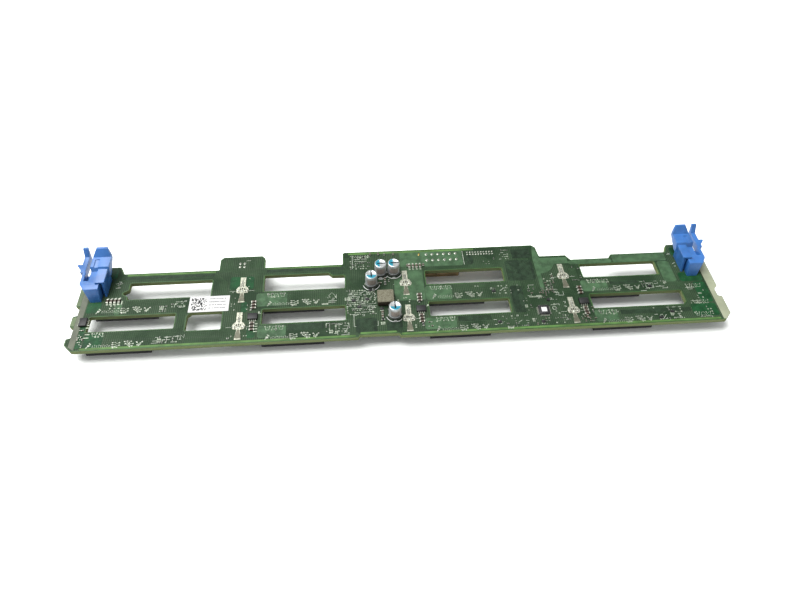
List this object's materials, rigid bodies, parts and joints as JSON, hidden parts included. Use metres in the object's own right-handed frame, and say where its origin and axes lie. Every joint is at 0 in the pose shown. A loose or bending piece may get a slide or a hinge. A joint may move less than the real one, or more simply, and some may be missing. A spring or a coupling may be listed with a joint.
{
  "type": "drive backplane board",
  "caption": "Long green circuit board with rows of drive connectors, air windows, cable headers and a blue release clip at each end.",
  "frame": {"origin": "middle of the base of the whole part, on the surface that it lies on with its drive side down", "axes": "+X along the board towards its right end, +Y up the board towards the release clips, +Z out of the rear face that carries the capacitors and the label"},
  "size_m": [0.434, 0.0746, 0.0335],
  "materials": {
    "board": "satin green solder mask over glass-fibre board",
    "black_housing": "satin moulded plastic",
    "cream_housing": "satin moulded plastic",
    "gold_contact": "plated",
    "tinned_pin": "tinned",
    "tinned_pad": "tinned",
    "black_base": "satin moulded plastic",
    "can_metal": "satin drawn metal",
    "choke_tan": "matte pressed iron powder",
    "chip_black": "matte moulded epoxy",
    "sticker_white": "matte paper",
    "ceramic_brown": "matte ceramic",
    "label_white": "matte paper",
    "lamp_clear": "clear lens on a white base",
    "clip_blue": "satin moulded plastic"
  },
  "bodies": {
    "root": {"circuit_board": "board", "drive_connector_b1": "black_housing", "drive_connector_b2": "black_housing", "drive_connector_b3": "black_housing", "drive_connector_b4": "black_housing", "drive_connector_a1": "black_housing", "drive_connector_a2": "black_housing", "drive_connector_a3": "black_housing", "drive_connector_a4": "black_housing", "drive_contacts_b1": "gold_contact", "drive_contacts_b2": "gold_contact", "drive_contacts_b3": "gold_contact", "drive_contacts_b4": "gold_contact", "drive_contacts_a1": "gold_contact", "drive_contacts_a2": "gold_contact", "drive_contacts_a3": "gold_contact", "drive_contacts_a4": "gold_contact", "power_header": "cream_housing", "power_pins": "tinned_pin", "signal_header": "cream_housing", "signal_pins": "gold_contact", "aux_header": "cream_housing", "aux_pins": "gold_contact", "data_connector_left": "black_housing", "data_tongue_left": "black_housing", "data_connector_right": "black_housing", "data_tongue_right": "black_housing", "capacitor_base_1": "black_base", "capacitor_base_2": "black_base", "capacitor_base_3": "black_base", "capacitor_base_4": "black_base", "capacitor_can_1": "can_metal", "capacitor_can_2": "can_metal", "capacitor_can_3": "can_metal", "capacitor_can_4": "can_metal", "choke_core": "choke_tan", "choke_terminals": "tinned_pin", "driver_chip_1": "chip_black", "driver_chip_2": "chip_black", "driver_chip_3": "chip_black", "driver_chip_4": "chip_black", "driver_chip_leads": "tinned_pin", "controller_chip": "chip_black", "controller_leads": "tinned_pin", "controller_sticker": "sticker_white", "ceramic_capacitors": "ceramic_brown", "ground_pads": "tinned_pad", "paper_label": "label_white", "status_lights": "lamp_clear", "left_release_clip": "clip_blue", "right_release_clip": "clip_blue"}
  },
  "joints": []
}
